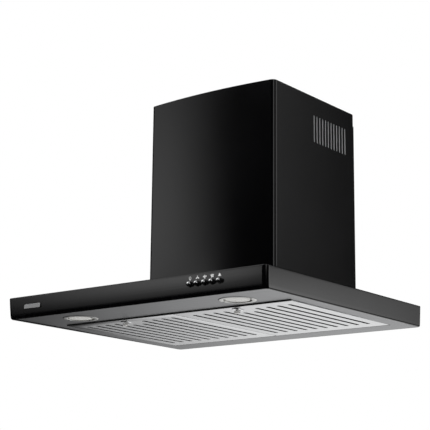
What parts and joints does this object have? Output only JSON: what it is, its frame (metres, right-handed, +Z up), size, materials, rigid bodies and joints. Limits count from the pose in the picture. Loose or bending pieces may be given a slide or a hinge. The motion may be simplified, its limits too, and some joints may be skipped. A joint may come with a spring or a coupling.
{
  "type": "range hood",
  "caption": "Wall-mounted T-shape range hood: flat canopy, bowed telescopic chimney, push buttons, round lamps and slotted swing-down grease filters.",
  "frame": {"origin": "on the wall plane, centred left to right, at half the height of the canopy's back wall", "axes": "+X to the right as seen from the front, -Y towards the cook, +Y into the wall, +Z up"},
  "size_m": [0.598, 0.5229, 0.459],
  "materials": {
    "black_enamel": "satin black",
    "brushed_panel": "brushed left to right",
    "filter_metal": "satin",
    "satin_ring": "satin",
    "chrome": "polished",
    "frosted_lens": "frosted",
    "duct_steel": "satin",
    "galvanised": "galvanised",
    "dark_plastic": "moulded",
    "pale_plastic": "moulded",
    "rubber": "matte",
    "motor_enamel": "enamel"
  },
  "bodies": {
    "hood": {"canopy_shell": "black_enamel", "underside_panel": "brushed_panel", "filter_rail": "galvanised", "lamp_ring_left": "satin_ring", "lamp_ring_right": "satin_ring", "lamp_lens_left": "frosted_lens", "lamp_lens_right": "frosted_lens", "lamp_module_left": "pale_plastic", "lamp_module_right": "pale_plastic", "lamp_screw_left_outer": "chrome", "lamp_screw_left_inner": "chrome", "lamp_screw_right_outer": "chrome", "lamp_screw_right_inner": "chrome", "badge_plate": "chrome", "switch_block": "dark_plastic", "switch_bracket": "galvanised", "motor_box": "galvanised", "wall_hook_left": "galvanised", "wall_hook_right": "galvanised", "scroll_wrapper": "galvanised", "scroll_side_left": "galvanised", "scroll_side_right": "galvanised", "fan_motor": "motor_enamel", "motor_strap": "galvanised", "motor_grommet_lower": "rubber", "motor_grommet_upper": "rubber", "motor_screw_lower": "galvanised", "motor_screw_upper": "galvanised", "capacitor": "pale_plastic", "terminal_box": "dark_plastic", "outlet_collar": "dark_plastic", "flap_pin": "galvanised", "collar_screw_1": "galvanised", "collar_screw_2": "galvanised", "collar_screw_3": "galvanised", "collar_screw_4": "galvanised", "outer_chimney": "black_enamel", "lower_chimney_bracket": "galvanised"},
    "key_1": {"button_1": "chrome"},
    "key_2": {"button_2": "chrome"},
    "key_3": {"button_3": "chrome"},
    "key_4": {"button_4": "chrome"},
    "key_5": {"button_5": "chrome"},
    "tray_left": {"filter_face_left": "filter_metal", "filter_mesh_left": "filter_metal", "latch_plate_left": "chrome"},
    "latch_left": {"filter_latch_left": "chrome"},
    "tray_right": {"filter_face_right": "filter_metal", "filter_mesh_right": "filter_metal", "latch_plate_right": "chrome"},
    "latch_right": {"filter_latch_right": "chrome"},
    "rotor": {"fan_impeller": "dark_plastic", "motor_shaft": "galvanised", "shaft_nut": "galvanised"},
    "flap_left": {"backdraft_flap_left": "pale_plastic"},
    "flap_right": {"backdraft_flap_right": "pale_plastic"},
    "upper_chimney": {"inner_chimney": "duct_steel", "upper_chimney_bracket": "galvanised"}
  },
  "joints": [
    {"name": "button_1_push", "type": "slide", "parent": "hood", "child": "key_1", "axis": [0, 1, 0], "range_m": [0, 0.003], "stiffness_N_per_m": 500, "springref_m": -0.002},
    {"name": "button_2_push", "type": "slide", "parent": "hood", "child": "key_2", "axis": [0, 1, 0], "range_m": [0, 0.003], "stiffness_N_per_m": 500, "springref_m": -0.002},
    {"name": "button_3_push", "type": "slide", "parent": "hood", "child": "key_3", "axis": [0, 1, 0], "range_m": [0, 0.003], "stiffness_N_per_m": 500, "springref_m": -0.002},
    {"name": "button_4_push", "type": "slide", "parent": "hood", "child": "key_4", "axis": [0, 1, 0], "range_m": [0, 0.003], "stiffness_N_per_m": 500, "springref_m": -0.002},
    {"name": "button_5_push", "type": "slide", "parent": "hood", "child": "key_5", "axis": [0, 1, 0], "range_m": [0, 0.003], "stiffness_N_per_m": 500, "springref_m": -0.002},
    {"name": "filter_left_hinge", "type": "hinge", "parent": "hood", "child": "tray_left", "pos_m": [-0.1311, -0.06, -0.019], "axis": [1, 0, 0], "range_deg": [0, 80]},
    {"name": "latch_left_slide", "type": "slide", "parent": "tray_left", "child": "latch_left", "axis": [0, 1, 0], "range_m": [0, 0.006], "stiffness_N_per_m": 300, "springref_m": -0.003},
    {"name": "filter_right_hinge", "type": "hinge", "parent": "hood", "child": "tray_right", "pos_m": [0.1311, -0.06, -0.019], "axis": [1, 0, 0], "range_deg": [0, 80]},
    {"name": "latch_right_slide", "type": "slide", "parent": "tray_right", "child": "latch_right", "axis": [0, 1, 0], "range_m": [0, 0.006], "stiffness_N_per_m": 300, "springref_m": -0.003},
    {"name": "fan_spin", "type": "hinge", "parent": "hood", "child": "rotor", "pos_m": [0, -0.17, 0.128], "axis": [1, 0, 0], "continuous": true},
    {"name": "flap_left_swing", "type": "hinge", "parent": "hood", "child": "flap_left", "pos_m": [0, -0.133, 0.273], "axis": [0, 1, 0], "range_deg": [0, 80]},
    {"name": "flap_right_swing", "type": "hinge", "parent": "hood", "child": "flap_right", "pos_m": [0, -0.133, 0.273], "axis": [0, -1, 0], "range_deg": [0, 80]},
    {"name": "chimney_extend", "type": "slide", "parent": "hood", "child": "upper_chimney", "axis": [0, 0, 1], "range_m": [0, 0.29]}
  ]
}
